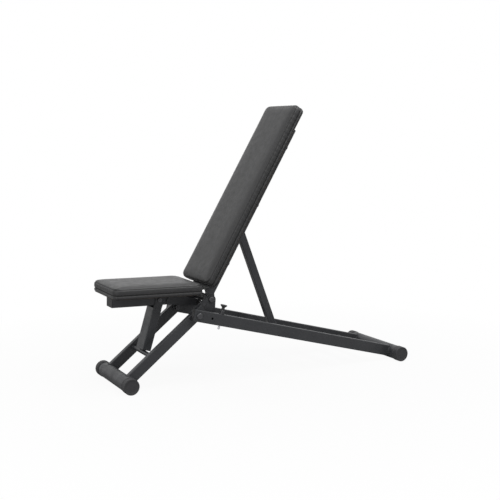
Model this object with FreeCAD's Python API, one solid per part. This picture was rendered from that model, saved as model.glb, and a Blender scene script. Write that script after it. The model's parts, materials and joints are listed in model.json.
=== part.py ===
"""Adjustable folding weight bench, modelled as separate welded, bolted and hinged pieces.

Frame: X runs from the front foot to the rear foot, Y across the bench, Z up. The origin is on
the floor, midway between the foremost and rearmost points, on the mid-plane. Millimetres.
The left side of the bench is -Y, as for a person who sits on it.
"""

import FreeCAD, Part
import math
import os

Vec = FreeCAD.Vector

# ---- driving dimensions -------------------------------------------------------------------
FOOT_SPAN = 1176.5          # front foot axis to rear foot axis
LEG_ANGLE = 39.0            # front legs above the floor, degrees
RAIL_ANGLE = 14.48          # rear rails above the floor, degrees
FOOT_AXIS_HEIGHT = 30.0     # both feet, above the floor
CAP_RADIUS = 30.4           # rubber end caps of both feet, flattened where they stand
FOOT_RADIUS = 28.5          # round foot tubes
FOOT_WALL = 2.5
CAP_LENGTH = 30.0           # collar of an end cap along the tube
CAP_DISC = 4.0              # closed end of a cap, beyond the tube's end
FRONT_FOOT_LENGTH = 328.0   # over the caps
REAR_FOOT_LENGTH = 381.0    # over the caps

RAIL_DEPTH, RAIL_WIDTH = 45.0, 20.0
RAIL_OUTER_Y = 132.0
RAIL_OVERHANG = 22.5        # rail end in front of the fold pivot
LEG_DEPTH, LEG_WIDTH = 40.0, 22.0
LEG_OUTER_Y = 111.0
LEG_OVERHANG = 36.0         # leg end beyond the fold pivot
TUBE_WALL = 2.0
TUBE_CORNER = 3.0           # outer corner radius of the rectangular tubes
PLATE = 4.0                 # hinge plates and lugs
WASHER = 1.0

SEAT_LENGTH, SEAT_WIDTH, PAD_THICKNESS = 352.0, 254.0, 43.0
SEAT_FALL = 1.2             # the seat falls this many degrees towards the backrest
SEAT_UNDERSIDE = 346.0      # height of the seat pad's underside at its front end
BOARD = 12.0                # plywood board in the underside of each pad
PAD_CORNER = 24.0           # corner radius of the pads, seen from above
PAD_EDGE = 9.0              # rounded edges of the pads

BACK_ANGLE = 60.03          # backrest above the floor, degrees
BACK_LENGTH, BACK_WIDTH = 779.0, 253.0
BACK_BELOW = 22.0           # pad end below the datum of the backrest
SIDE_TUBE_DEPTH, SIDE_TUBE_WIDTH = 30.0, 20.0
SIDE_TUBE_OUTER_Y = 80.0
SIDE_TUBE_START, SIDE_TUBE_END = -40.0, 675.0
CROSS_HEIGHT, CROSS_DEPTH = 30.0, 20.0         # cross tubes between the side tubes
BACK_CROSS_AT = (-37.0, 196.0, 640.0)          # lower edges of the cross tubes, along the backrest
BACK_SLEEVE_RADIUS = 15.0                      # sleeve round the backrest's axle

SEAT_TUBE_WIDTH, SEAT_TUBE_HEIGHT = 60.0, 42.0
SEAT_TUBE_START, SEAT_TUBE_LENGTH = 27.0, 233.0   # along the seat from its front end
MOUNT_PLATE = 3.0           # flat plates between the seat tube and the seat board
STRUT_DEPTH, STRUT_WALL = 35.0, 3.0            # seat strut
BACK_STRUT_DEPTH, BACK_STRUT_WIDTH = 30.0, 25.0

PIVOT_BOLT = 6.0            # radius of the pivot bolts and axles
RUN = 0.06                  # radial running clearance of the pivots
RUNG_RADIUS = 8.0
SEAT_RUNG_RADIUS = 9.0
RUNG_GAP = 2.0              # between a strut's open end and its rung
LOCK_PIN_RADIUS = 4.0

# ---- datum points in the XZ plane ---------------------------------------------------------
SEAT_AHEAD = 48.0           # the seat's front end stands this far ahead of the front foot axis
FRONT_X = -(FOOT_SPAN + CAP_RADIUS + SEAT_AHEAD) / 2.0 + SEAT_AHEAD
REAR_X = FRONT_X + FOOT_SPAN


def place(x, z):
    """Point at x behind the front foot's axis and z above the floor."""
    return Vec(FRONT_X + x, 0, z)


def slope(angle):
    """Unit vector in the XZ plane, at an angle in degrees above +X."""
    a = math.radians(angle)
    return Vec(math.cos(a), 0, math.sin(a))


FRONT_FOOT = place(0, FOOT_AXIS_HEIGHT)
REAR_FOOT = place(FOOT_SPAN, FOOT_AXIS_HEIGHT)
LEG_DIR = slope(LEG_ANGLE)
RAIL_DIR = slope(180.0 - RAIL_ANGLE)
LEG_RISE, RAIL_RISE = math.tan(math.radians(LEG_ANGLE)), math.tan(math.radians(RAIL_ANGLE))
FOLD_RUN = FOOT_SPAN * RAIL_RISE / (LEG_RISE + RAIL_RISE)
FOLD = place(FOLD_RUN, FOOT_AXIS_HEIGHT + FOLD_RUN * LEG_RISE)
BACK_PIVOT = place(353.0, 311.5)
SEAT_PIVOT = place(325.0, 294.5)
SEAT_STRUT_TOP = place(164.3, 316.5)
SEAT_RUNG = place(105.0, 117.0)
BACK_DATUM = place(326.0, 400.0)       # on the front face of the backrest pad
BACK_DIR = slope(BACK_ANGLE)
BACK_REAR = slope(BACK_ANGLE - 90.0)   # from the pad's face towards its back
BACK_STRUT_AT = (258.0, 58.0)          # strut pivot: along the backrest, behind its face
BACK_STEPS = (75.0, 45.0, 31.0, 16.0, 0.0)    # other backrest angles that have a rung
RUNG_DROP = 26.0                       # rungs below the top edge of the rails
SEAT_DIR = slope(-SEAT_FALL)
SEAT_UP = slope(90.0 - SEAT_FALL)
SEAT_DATUM = place(-SEAT_AHEAD, SEAT_UNDERSIDE)
LOCK_ALONG = 94.0                      # lock pin behind the fold pivot, along the rail
RAIL_HOLE_ALONG = 55.0
Y_AXIS = Vec(0, 1, 0)


def on_back(along, behind):
    """Point on the backrest: distance up along the pad, and behind its front face."""
    return BACK_DATUM + BACK_DIR * along + BACK_REAR * behind


def on_seat(along, above):
    """Point on the seat: distance back from its front end, and above its underside."""
    return SEAT_DATUM + SEAT_DIR * along + SEAT_UP * above


BACK_STRUT_TOP = on_back(*BACK_STRUT_AT)


def rung_for(back_angle, length):
    """Place of the rung that holds the backrest at an angle: where the strut meets the rungs."""
    turn = math.radians(back_angle - BACK_ANGLE)
    arm = BACK_STRUT_TOP - BACK_PIVOT
    top = BACK_PIVOT + Vec(arm.x * math.cos(turn) - arm.z * math.sin(turn), 0,
                           arm.x * math.sin(turn) + arm.z * math.cos(turn))
    back = RAIL_DIR * -1.0
    down = Vec(RAIL_DIR.z, 0, -RAIL_DIR.x) * -1.0
    start = FOLD + down * (RUNG_DROP - RAIL_DEPTH / 2.0)
    gap = start - top
    half = gap.dot(back)
    return start + back * (-half + math.sqrt(half * half - gap.dot(gap) + length * length))


BACK_STRUT_LENGTH = 467.0
REST_RUNG = rung_for(BACK_ANGLE, BACK_STRUT_LENGTH)
RUNGS = [REST_RUNG] + [rung_for(angle, BACK_STRUT_LENGTH) for angle in BACK_STEPS]


# ---- shape helpers ------------------------------------------------------------------------
def rounded_rect(width, depth, radius):
    """Wire of a rounded rectangle on the XY plane, centred on the origin."""
    x, y, k = width / 2.0, depth / 2.0, radius * (1.0 - math.sqrt(0.5))
    corners = [((x - radius, -y), (x - k, -y + k), (x, -y + radius)),
               ((x, y - radius), (x - k, y - k), (x - radius, y)),
               ((-x + radius, y), (-x + k, y - k), (-x, y - radius)),
               ((-x, -y + radius), (-x + k, -y + k), (-x + radius, -y))]
    edges = []
    for i, corner in enumerate(corners):
        a, b, c = (Vec(px, py, 0) for px, py in corner)
        nxt = Vec(*corners[(i + 1) % 4][0], 0)
        edges.append(Part.Arc(a, b, c).toShape())
        edges.append(Part.LineSegment(c, nxt).toShape())
    return Part.Wire(edges)


def along(wire, start, direction, length):
    """Solid of a profile carried along a direction of the XZ plane from a start point.

    The profile's X lies in the XZ plane and its Y along the bench's Y.
    """
    across = Y_AXIS.cross(direction)
    turn = FreeCAD.Rotation(across, Y_AXIS, direction, "ZXY")
    face = Part.Face(wire)
    face.Placement = FreeCAD.Placement(start, turn)
    return face.extrude(direction * length)


def bar(start, direction, length, depth, width, y, corner=TUBE_CORNER):
    """Solid rectangular bar in the XZ plane, centred on y."""
    begin = Vec(start.x, y, start.z)
    return along(rounded_rect(depth, width, corner), begin, direction, length)


def tube(start, direction, length, depth, width, y, wall=TUBE_WALL):
    """Rectangular tube in the XZ plane, open at both ends."""
    inner = bar(start - direction, direction, length + 2.0,
                depth - 2 * wall, width - 2 * wall, y, TUBE_CORNER - wall / 1.25)
    return bar(start, direction, length, depth, width, y).cut(inner)


def rod(centre, y0, y1, radius):
    """Round bar along Y between two y values."""
    return Part.makeCylinder(radius, y1 - y0, Vec(centre.x, y0, centre.z), Y_AXIS)


def ring(centre, y0, y1, outer, inner):
    """Washer, bush or round tube along Y."""
    return rod(centre, y0, y1, outer).cut(rod(centre, y0 - 1, y1 + 1, inner))


def both_sides(shape):
    """A shape and its mirror image on the other side of the mid-plane."""
    return shape, shape.mirror(Vec(0, 0, 0), Y_AXIS)


def link_plate(discs, y0, y1):
    """Flat plate along Y whose outline is a belt around discs, given counter-clockwise.

    Each disc is (centre, radius). A straight side touches two discs where their common
    outward normal has a component of (r1 - r2) / distance along the line of centres.
    """
    count = len(discs)
    normals = []
    for i in range(count):
        (c1, r1), (c2, r2) = discs[i], discs[(i + 1) % count]
        line = c2 - c1
        a = math.atan2(line.z, line.x) - math.acos((r1 - r2) / line.Length)
        normals.append(a)
    edges = []
    for i in range(count):
        centre, radius = discs[i]
        a_in, a_out = normals[i - 1], normals[i]
        while a_out < a_in:
            a_out += 2 * math.pi
        spots = [centre + Vec(math.cos(a), 0, math.sin(a)) * radius
                 for a in (a_in, (a_in + a_out) / 2, a_out)]
        edges.append(Part.Arc(*spots).toShape())
        nxt_centre, nxt_radius = discs[(i + 1) % count]
        nxt = nxt_centre + Vec(math.cos(a_out), 0, math.sin(a_out)) * nxt_radius
        edges.append(Part.LineSegment(spots[2], nxt).toShape())
    face = Part.Face(Part.Wire(edges))
    face.translate(Vec(0, y0, 0))
    return face.extrude(Y_AXIS * (y1 - y0))


def hex_nut(centre, y0, y1, across, bore):
    """Hexagon nut along Y, with its bore."""
    points = [centre + Vec(math.cos(a), 0, math.sin(a)) * (across / math.sqrt(3.0))
              for a in (math.radians(60 * i) for i in range(7))]
    face = Part.Face(Part.makePolygon([Vec(p.x, y0, p.z) for p in points]))
    return face.extrude(Y_AXIS * (y1 - y0)).cut(rod(centre, y0 - 1, y1 + 1, bore))


def domed_head(centre, y0, y1, radius):
    """Low domed bolt head along Y: flat at y0, crowned at y1."""
    head = rod(centre, min(y0, y1), max(y0, y1), radius)
    rim = [e for e in head.Edges if abs(e.CenterOfMass.y - y1) < 1e-6 and e.Length > radius]
    return head.makeFillet(abs(y1 - y0) * 0.6, rim[:1])


def pad(corner_point, direction, up, length, width, thickness):
    """Plain closed solid of a pad with rounded plan corners, from a point in the middle of one
    end of its underside, with the direction along it and up through it.
    """
    wire = rounded_rect(length, width, PAD_CORNER)
    face = Part.Face(wire)
    middle = corner_point + direction * (length / 2.0)
    face.Placement = FreeCAD.Placement(middle, FreeCAD.Rotation(direction, Y_AXIS, up, "ZXY"))
    return face.extrude(up * thickness)


def rounded_edges(shape, up, radius):
    """The solid with the edges of its top face rounded."""
    top = max(v.Point.dot(up) for v in shape.Vertexes)
    rim = [e for e in shape.Edges if all(abs(v.Point.dot(up) - top) < 1e-4 for v in e.Vertexes)]
    return shape.makeFillet(radius, rim)


def screws(points, direction, length, radius, head_radius, head):
    """Pan-head screws: shanks along a direction, with heads behind the start points."""
    solids = []
    for point in points:
        shank = Part.makeCylinder(radius, length, point, direction)
        solids.append(shank.fuse(Part.makeCylinder(head_radius, head, point - direction * head,
                                                   direction)))
    return solids


NODES = {}


def add(name, *shapes):
    """Keep the solids of one named piece."""
    solids = [solid for shape in shapes for solid in shape.Solids]
    NODES[name] = solids


# ---- feet ---------------------------------------------------------------------------------
def foot(name, axis, length):
    """Round foot: an open tube and two caps with a closed end and a collar over the tube."""
    half = length / 2.0
    tube_end = half - CAP_DISC
    add(name + "_tube", ring(axis, -tube_end, tube_end, FOOT_RADIUS, FOOT_RADIUS - FOOT_WALL))
    cap = rod(axis, -half, -half + CAP_LENGTH, CAP_RADIUS)
    rim = [e for e in cap.Edges if abs(e.CenterOfMass.y + half) < 1e-6 and e.Length > CAP_RADIUS]
    cap = cap.makeFillet(1.5, rim[:1])
    cap = cap.cut(rod(axis, -tube_end, 0, FOOT_RADIUS))
    below = Part.makeBox(100.0, length, 10.0, Vec(axis.x - 50.0, -half, -10.0))
    cap = cap.cut(below)
    left, right = both_sides(cap)
    add(name + "_cap_left", left)
    add(name + "_cap_right", right)


# ---- rear frame ---------------------------------------------------------------------------
def rear_frame():
    """Rails, rear foot, rungs, end plugs and the guide of the lock pin."""
    foot("rear_foot", REAR_FOOT, REAR_FOOT_LENGTH)
    y = RAIL_OUTER_Y - RAIL_WIDTH / 2.0
    front = FOLD + RAIL_DIR * RAIL_OVERHANG
    length = (REAR_FOOT - front).Length
    back = RAIL_DIR * -1.0
    normal = Vec(RAIL_DIR.z, 0, -RAIL_DIR.x)
    rail = tube(front, back, length, RAIL_DEPTH, RAIL_WIDTH, -y)
    rail = rail.cut(rod(REAR_FOOT, -RAIL_OUTER_Y - 1, RAIL_OUTER_Y, FOOT_RADIUS))
    rail = rail.cut(rod(FOLD, -RAIL_OUTER_Y - 1, 0, PIVOT_BOLT))
    rail = rail.cut(rod(FOLD + back * RAIL_HOLE_ALONG, -RAIL_OUTER_Y - 1, 0, 4.5))
    left, right = both_sides(rail)
    lock = FOLD + back * LOCK_ALONG + Vec(0, -y, 0)
    bore = Part.makeCylinder(LOCK_PIN_RADIUS + RUN, 90.0, lock - normal * 45.0, normal)
    left = left.cut(bore)
    add("rail_left", left)
    add("rail_right", right)
    top = lock + normal * (RAIL_DEPTH / 2.0)
    collar = Part.makeCylinder(9.0, 14.0, top, normal).cut(bore)
    collar = collar.fuse(Part.makeCylinder(11.0, 3.0, top, normal).cut(bore))
    add("lock_pin_guide", collar)

    plug = bar(front, back, 12.0, RAIL_DEPTH - 2 * TUBE_WALL - 0.2,
               RAIL_WIDTH - 2 * TUBE_WALL - 0.2, -y, 1.2)
    lip = bar(front - back * 2.5, back, 2.5, RAIL_DEPTH - 1.0, RAIL_WIDTH - 1.0, -y, 2.5)
    add("rail_end_plugs", *both_sides(plug.fuse(lip)))

    inner = RAIL_OUTER_Y - RAIL_WIDTH
    add("backrest_rungs", *[rod(point, -inner, inner, RUNG_RADIUS) for point in RUNGS])

    outer, hub = RAIL_OUTER_Y, LEG_OUTER_Y - LEG_WIDTH
    bolt = rod(FOLD, -outer, -hub + 13.0, PIVOT_BOLT)
    add("fold_bolts", *both_sides(bolt.fuse(domed_head(FOLD, -outer, -outer - 6.0, 12.0))))
    add("fold_nuts", *both_sides(hex_nut(FOLD, -hub + PLATE + 0.5, -hub + PLATE + 8.5, 19.0,
                                         PIVOT_BOLT)))
    add("fold_washers", *both_sides(ring(FOLD, -inner + 0.05, -LEG_OUTER_Y - 0.05, 14.0,
                                         PIVOT_BOLT)))


def lock_pin():
    """Lock pin through the left rail, with its T-shaped knob."""
    y = RAIL_OUTER_Y - RAIL_WIDTH / 2.0
    normal = Vec(RAIL_DIR.z, 0, -RAIL_DIR.x)
    lock = FOLD - RAIL_DIR * LOCK_ALONG + Vec(0, -y, 0)
    tip = lock - normal * (RAIL_DEPTH / 2.0 + 14.0)
    seat = lock + normal * (RAIL_DEPTH / 2.0 + 15.0)
    length = (seat - tip).Length + 10.0
    pin = Part.makeCylinder(LOCK_PIN_RADIUS, length, tip, normal)
    end = [e for e in pin.Edges if (e.CenterOfMass - tip).Length < 1e-4]
    add("lock_pin", pin.makeChamfer(1.5, end[:1]))
    stem = Part.makeCylinder(6.5, 12.0, seat, normal)
    flare = Part.makeCone(6.5, 13.0, 6.0, seat + normal * 12.0, normal)
    cap = Part.makeCylinder(13.0, 5.0, seat + normal * 18.0, normal)
    edge = [e for e in cap.Edges if abs((e.CenterOfMass - seat).dot(normal) - 23.0) < 1e-4]
    knob = stem.fuse(flare).fuse(cap.makeFillet(2.0, edge[:1])).removeSplitter()
    add("lock_pin_knob", knob.cut(pin))


# ---- leg frame ----------------------------------------------------------------------------
def leg_frame():
    """Front legs, front foot, seat rung, hinge plates and the axles they carry."""
    foot("front_foot", FRONT_FOOT, FRONT_FOOT_LENGTH)
    y = LEG_OUTER_Y - LEG_WIDTH / 2.0
    length = (FOLD - FRONT_FOOT).Length + LEG_OVERHANG
    leg = tube(FRONT_FOOT, LEG_DIR, length, LEG_DEPTH, LEG_WIDTH, -y)
    leg = leg.cut(rod(FRONT_FOOT, -LEG_OUTER_Y - 1, 0, FOOT_RADIUS))
    leg = leg.cut(rod(FOLD, -LEG_OUTER_Y - 1, 0, PIVOT_BOLT + RUN))
    left, right = both_sides(leg)
    add("leg_left", left)
    add("leg_right", right)
    end = FRONT_FOOT + LEG_DIR * length
    plug = bar(end, LEG_DIR * -1.0, 10.0, LEG_DEPTH - 2 * TUBE_WALL - 0.2,
               LEG_WIDTH - 2 * TUBE_WALL - 0.2, -y, 1.2)
    lip = bar(end, LEG_DIR, 2.0, LEG_DEPTH - 1.0, LEG_WIDTH - 1.0, -y, 2.5)
    add("leg_end_plugs", *both_sides(plug.fuse(lip)))

    inner = LEG_OUTER_Y - LEG_WIDTH
    heel = FOLD + Vec(74.0, 0, 2.0)
    plate = link_plate([(FOLD, 19.0), (heel, 9.0), (BACK_PIVOT, 18.0)], -inner, -inner + PLATE)
    plate = plate.cut(rod(FOLD, -inner - 1, 0, PIVOT_BOLT + RUN))
    plate = plate.cut(rod(BACK_PIVOT, -inner - 1, 0, PIVOT_BOLT))
    plate = plate.cut(rod(SEAT_PIVOT, -inner - 1, 0, PIVOT_BOLT))
    left, right = both_sides(plate)
    add("hinge_plate_left", left)
    add("hinge_plate_right", right)

    add("seat_rung", rod(SEAT_RUNG, -inner, inner, SEAT_RUNG_RADIUS))
    add("seat_axle", rod(SEAT_PIVOT, -inner + 1.5, inner - 1.5, PIVOT_BOLT))
    axle = rod(BACK_PIVOT, -inner, inner + 12.0, PIVOT_BOLT)
    add("backrest_axle", axle.fuse(domed_head(BACK_PIVOT, -inner, -inner - 7.0, 12.0)))
    add("backrest_axle_nut", hex_nut(BACK_PIVOT, inner, inner + 9.0, 19.0, PIVOT_BOLT))
    lug_outer = SIDE_TUBE_OUTER_Y + PLATE
    gap = inner - PLATE
    add("backrest_washers", *both_sides(ring(BACK_PIVOT, -gap + 0.05, -lug_outer - 0.1, 13.0,
                                             PIVOT_BOLT)))


# ---- seat ---------------------------------------------------------------------------------
def seat():
    """Seat beam, its lugs and plates, the board and the pad."""
    half = SEAT_TUBE_HEIGHT / 2.0
    start = on_seat(SEAT_TUBE_START, -MOUNT_PLATE - half)
    beam = tube(start, SEAT_DIR, SEAT_TUBE_LENGTH, SEAT_TUBE_HEIGHT, SEAT_TUBE_WIDTH, 0.0)
    beam = beam.cut(rod(SEAT_STRUT_TOP, -50, 50, PIVOT_BOLT))
    add("seat_beam", beam)
    plug = bar(start, SEAT_DIR, 12.0, SEAT_TUBE_HEIGHT - 2 * TUBE_WALL - 0.2,
               SEAT_TUBE_WIDTH - 2 * TUBE_WALL - 0.2, 0.0, 1.2)
    lip = bar(start - SEAT_DIR * 2.5, SEAT_DIR, 2.5, SEAT_TUBE_HEIGHT - 0.6,
              SEAT_TUBE_WIDTH - 0.6, 0.0, 2.8)
    add("seat_beam_plug", plug.fuse(lip))

    side = SEAT_TUBE_WIDTH / 2.0
    low = start + SEAT_DIR * (SEAT_TUBE_LENGTH - 8.0) - SEAT_UP * 8.0
    high = start + SEAT_DIR * (SEAT_TUBE_LENGTH + 2.0) + SEAT_UP * 4.0
    lug = link_plate([(low, 12.0), (SEAT_PIVOT, 13.0), (high, 14.0)], -side - PLATE, -side)
    lug = lug.cut(rod(SEAT_PIVOT, -side - 9, 0, PIVOT_BOLT + RUN))
    add("seat_lugs", *both_sides(lug))
    bush = ring(SEAT_PIVOT, -side, side, 9.0, PIVOT_BOLT + RUN)
    add("seat_pivot_bush", bush)
    inner = LEG_OUTER_Y - LEG_WIDTH - PLATE
    sleeve = ring(SEAT_PIVOT, -inner + 0.5, -side - PLATE - 0.3, 8.5, PIVOT_BOLT + RUN)
    add("seat_spacers", *both_sides(sleeve))

    plates, holes = [], []
    for spot in (62.0, 232.0):
        begin = on_seat(spot, -MOUNT_PLATE / 2.0)
        plates.append(bar(begin, SEAT_DIR, 40.0, MOUNT_PLATE, 180.0, 0.0, 1.0))
        holes += [on_seat(spot + 20.0, -MOUNT_PLATE) + Vec(0, y, 0) for y in (-72.0, 72.0)]
    drills = [Part.makeCylinder(3.0, 20.0, p, SEAT_UP) for p in holes]
    add("seat_mount_plates", *[p.cut(Part.makeCompound(drills)) for p in plates])
    add("seat_screws", *screws(holes, SEAT_UP, 14.0, 3.0, 6.0, 2.5))

    inset = 6.0
    board = pad(on_seat(inset, 0.0), SEAT_DIR, SEAT_UP, SEAT_LENGTH - 2 * inset,
                SEAT_WIDTH - 2 * inset, BOARD)
    add("seat_board", board.cut(Part.makeCompound(drills)))
    cushion = rounded_edges(pad(on_seat(0.0, 0.0), SEAT_DIR, SEAT_UP, SEAT_LENGTH, SEAT_WIDTH,
                                PAD_THICKNESS), SEAT_UP, PAD_EDGE)
    add("seat_pad", cushion.cut(board))


def seat_strut():
    """Seat strut: a flat tube whose side walls straddle the seat beam at the top bolt."""
    line = SEAT_RUNG - SEAT_STRUT_TOP
    reach = line.Length - SEAT_RUNG_RADIUS - RUNG_GAP
    line.normalize()
    width = SEAT_TUBE_WIDTH + 2 * STRUT_WALL + 1.0
    body = tube(SEAT_STRUT_TOP + line * 34.0, line, reach - 34.0, STRUT_DEPTH, width, 0.0,
                STRUT_WALL)
    eye_radius = STRUT_DEPTH / 2.0
    cheek = link_plate([(SEAT_STRUT_TOP, eye_radius), (SEAT_STRUT_TOP + line * 40.0, 15.0)],
                       -width / 2.0, -width / 2.0 + STRUT_WALL)
    cheek = cheek.cut(rod(SEAT_STRUT_TOP, -50, 0, PIVOT_BOLT + RUN))
    left, right = both_sides(cheek)
    add("seat_strut", body.fuse(left).fuse(right))
    outer = width / 2.0
    bolt = rod(SEAT_STRUT_TOP, -outer, outer + 10.0, PIVOT_BOLT)
    add("seat_strut_bolt", bolt.fuse(domed_head(SEAT_STRUT_TOP, -outer - 0.3, -outer - 5.3, 10.0))
        .fuse(rod(SEAT_STRUT_TOP, -outer - 0.3, -outer, PIVOT_BOLT)))
    add("seat_strut_nut", hex_nut(SEAT_STRUT_TOP, outer + 0.3, outer + 8.0, 18.0, PIVOT_BOLT))


# ---- backrest -----------------------------------------------------------------------------
def backrest():
    """Backrest frame of two side tubes and cross tubes, with lugs, board and pad."""
    depth_mid = PAD_THICKNESS - 1.0 + SIDE_TUBE_DEPTH / 2.0
    y = SIDE_TUBE_OUTER_Y - SIDE_TUBE_WIDTH / 2.0
    length = SIDE_TUBE_END - SIDE_TUBE_START
    side = tube(on_back(SIDE_TUBE_START, depth_mid), BACK_DIR, length, SIDE_TUBE_DEPTH,
                SIDE_TUBE_WIDTH, -y)
    left, right = both_sides(side)
    add("backrest_tube_left", left)
    add("backrest_tube_right", right)
    inner = SIDE_TUBE_OUTER_Y - SIDE_TUBE_WIDTH
    crosses = [bar(on_back(spot, depth_mid), BACK_DIR, CROSS_HEIGHT, CROSS_DEPTH, 2 * inner, 0.0)
               for spot in BACK_CROSS_AT]
    add("backrest_cross_tubes", *crosses)
    plug = bar(on_back(SIDE_TUBE_END, depth_mid), BACK_DIR * -1.0, 10.0,
               SIDE_TUBE_DEPTH - 2 * TUBE_WALL - 0.2, SIDE_TUBE_WIDTH - 2 * TUBE_WALL - 0.2,
               -y, 1.2)
    lip = bar(on_back(SIDE_TUBE_END, depth_mid), BACK_DIR, 2.5, SIDE_TUBE_DEPTH - 0.6,
              SIDE_TUBE_WIDTH - 0.6, -y, 2.5)
    add("backrest_tube_plugs", *both_sides(plug.fuse(lip)))

    outer = SIDE_TUBE_OUTER_Y
    lug = link_plate([(BACK_PIVOT, 16.0), (place(359.0, 347.0), 8.0), (place(336.0, 349.0), 7.0)],
                     -outer - PLATE, -outer)
    lug = lug.cut(rod(BACK_PIVOT, -outer - 9, 0, PIVOT_BOLT + RUN))
    add("backrest_lugs", *both_sides(lug))
    add("backrest_pivot_sleeve", ring(BACK_PIVOT, -outer, outer, BACK_SLEEVE_RADIUS,
                                      PIVOT_BOLT + RUN))

    half = BACK_STRUT_WIDTH / 2.0
    at = BACK_STRUT_AT
    ear = link_plate([(BACK_STRUT_TOP, 13.0), (on_back(at[0] - 44.0, at[1] - 6.0), 8.0),
                      (on_back(at[0] - 44.0, at[1] + 5.0), 8.0)], -half - 0.5 - PLATE, -half - 0.5)
    cross = crosses[1]
    ear = ear.cut(cross).cut(rod(BACK_STRUT_TOP, -50, 0, PIVOT_BOLT))
    add("backrest_strut_ears", *both_sides(ear))
    ear_out = half + 0.5 + PLATE
    bolt = rod(BACK_STRUT_TOP, -ear_out, ear_out + 10.0, PIVOT_BOLT)
    add("backrest_strut_bolt", bolt.fuse(domed_head(BACK_STRUT_TOP, -ear_out, -ear_out - 5.0, 9.0)))
    add("backrest_strut_nut", hex_nut(BACK_STRUT_TOP, ear_out, ear_out + 8.0, 18.0, PIVOT_BOLT))

    front = BACK_REAR * -1.0
    underside = PAD_THICKNESS - 1.0
    holes = [on_back(spot, underside + SIDE_TUBE_DEPTH) + Vec(0, side_y, 0)
             for spot in (90.0, 345.0, 600.0) for side_y in (-y, y)]
    drills = Part.makeCompound([Part.makeCylinder(3.0, 60.0, p, front) for p in holes])
    for name in ("backrest_tube_left", "backrest_tube_right"):
        NODES[name] = NODES[name][0].cut(drills).Solids
    add("backrest_screws", *screws(holes, front, SIDE_TUBE_DEPTH + BOARD, 3.0, 6.5, 2.5))
    inset = 6.0
    begin = on_back(-BACK_BELOW, underside)
    board = pad(begin + BACK_DIR * inset, BACK_DIR, front, BACK_LENGTH - 2 * inset,
                BACK_WIDTH - 2 * inset, BOARD)
    add("backrest_board", board.cut(drills))
    cushion = rounded_edges(pad(begin, BACK_DIR, front, BACK_LENGTH, BACK_WIDTH,
                                underside), front, PAD_EDGE)
    add("backrest_pad", cushion.cut(board))


def backrest_strut():
    """Backrest strut: hinged between the ears, open at its lower end above a rung."""
    line = REST_RUNG - BACK_STRUT_TOP
    reach = line.Length
    line.normalize()
    eye = BACK_STRUT_DEPTH / 2.0
    normal = Vec(RAIL_DIR.z, 0, -RAIL_DIR.x)
    end = REST_RUNG + normal * (RUNG_RADIUS + RUNG_GAP)
    past = along(rounded_rect(200.0, 100.0, 5.0), end, normal * -1.0, 60.0)
    body = tube(BACK_STRUT_TOP, line, reach, BACK_STRUT_DEPTH, BACK_STRUT_WIDTH, 0.0).cut(past)
    head = link_plate([(BACK_STRUT_TOP, eye), (BACK_STRUT_TOP + line * 6.0, eye)],
                      -BACK_STRUT_WIDTH / 2.0, BACK_STRUT_WIDTH / 2.0)
    shape = body.fuse(head).cut(rod(BACK_STRUT_TOP, -50, 50, PIVOT_BOLT + RUN))
    add("backrest_strut", shape)
    plug = bar(REST_RUNG, line * -1.0, 34.0, BACK_STRUT_DEPTH - 2 * TUBE_WALL - 0.2,
               BACK_STRUT_WIDTH - 2 * TUBE_WALL - 0.2, 0.0, 1.2)
    add("backrest_strut_plug", plug.cut(past))


def main():
    """Build every piece and write one STEP file for each."""
    rear_frame()
    lock_pin()
    leg_frame()
    seat()
    seat_strut()
    backrest()
    backrest_strut()
    os.makedirs("parts", exist_ok=True)
    for old in os.listdir("parts"):
        if old.endswith(".step") and old[:-5] not in NODES:
            os.remove(os.path.join("parts", old))
    for name, solids in NODES.items():
        shape = solids[0] if len(solids) == 1 else Part.makeCompound(solids)
        if not shape.isValid():
            print("not valid:", name)
        shape.exportStep(os.path.join("parts", name + ".step"))
    print(len(NODES), "pieces")


main()
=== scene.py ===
"""Adjustable folding weight bench: its finishes, padded upholstery, welds, caps and stitching.

Everything is in metres in the bench's own frame: X runs from the front foot to the rear foot,
Y across the bench and Z up. The left side of the bench is -Y.
"""

import json
import logging
import math
from dataclasses import dataclass, field
from enum import Enum

import bmesh
import bpy
import numpy as np
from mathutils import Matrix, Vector
from mathutils.bvhtree import BVHTree


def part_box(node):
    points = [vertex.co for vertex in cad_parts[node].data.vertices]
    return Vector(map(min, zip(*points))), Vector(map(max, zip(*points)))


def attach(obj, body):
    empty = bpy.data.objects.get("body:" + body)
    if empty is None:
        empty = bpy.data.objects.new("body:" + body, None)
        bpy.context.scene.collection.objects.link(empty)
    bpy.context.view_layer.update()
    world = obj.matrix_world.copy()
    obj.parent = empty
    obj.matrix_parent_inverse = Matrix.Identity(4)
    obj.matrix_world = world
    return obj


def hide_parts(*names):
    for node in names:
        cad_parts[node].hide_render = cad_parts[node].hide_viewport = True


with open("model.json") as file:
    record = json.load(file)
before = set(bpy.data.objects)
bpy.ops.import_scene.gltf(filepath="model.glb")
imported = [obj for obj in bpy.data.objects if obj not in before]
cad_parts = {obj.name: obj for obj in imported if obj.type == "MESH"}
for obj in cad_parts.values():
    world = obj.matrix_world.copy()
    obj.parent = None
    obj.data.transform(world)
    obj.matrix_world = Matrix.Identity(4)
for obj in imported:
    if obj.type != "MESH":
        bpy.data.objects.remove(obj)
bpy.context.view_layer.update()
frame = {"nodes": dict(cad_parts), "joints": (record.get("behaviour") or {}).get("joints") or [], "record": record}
LOG = logging.getLogger("weight_bench")
ACROSS = np.array([0.0, 1.0, 0.0])
MM = 0.001


class Body(str, Enum):
    """Bodies of the bench that a piece can ride on."""

    REAR_FRAME = "rear_frame"
    LEG_FRAME = "leg_frame"
    SEAT = "seat"
    BACKREST = "backrest"
    LOCK_PIN = "lock_pin"


class Side(Enum):
    """Sides of the bench, with the sign of Y on each."""

    LEFT = -1.0
    RIGHT = 1.0


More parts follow.
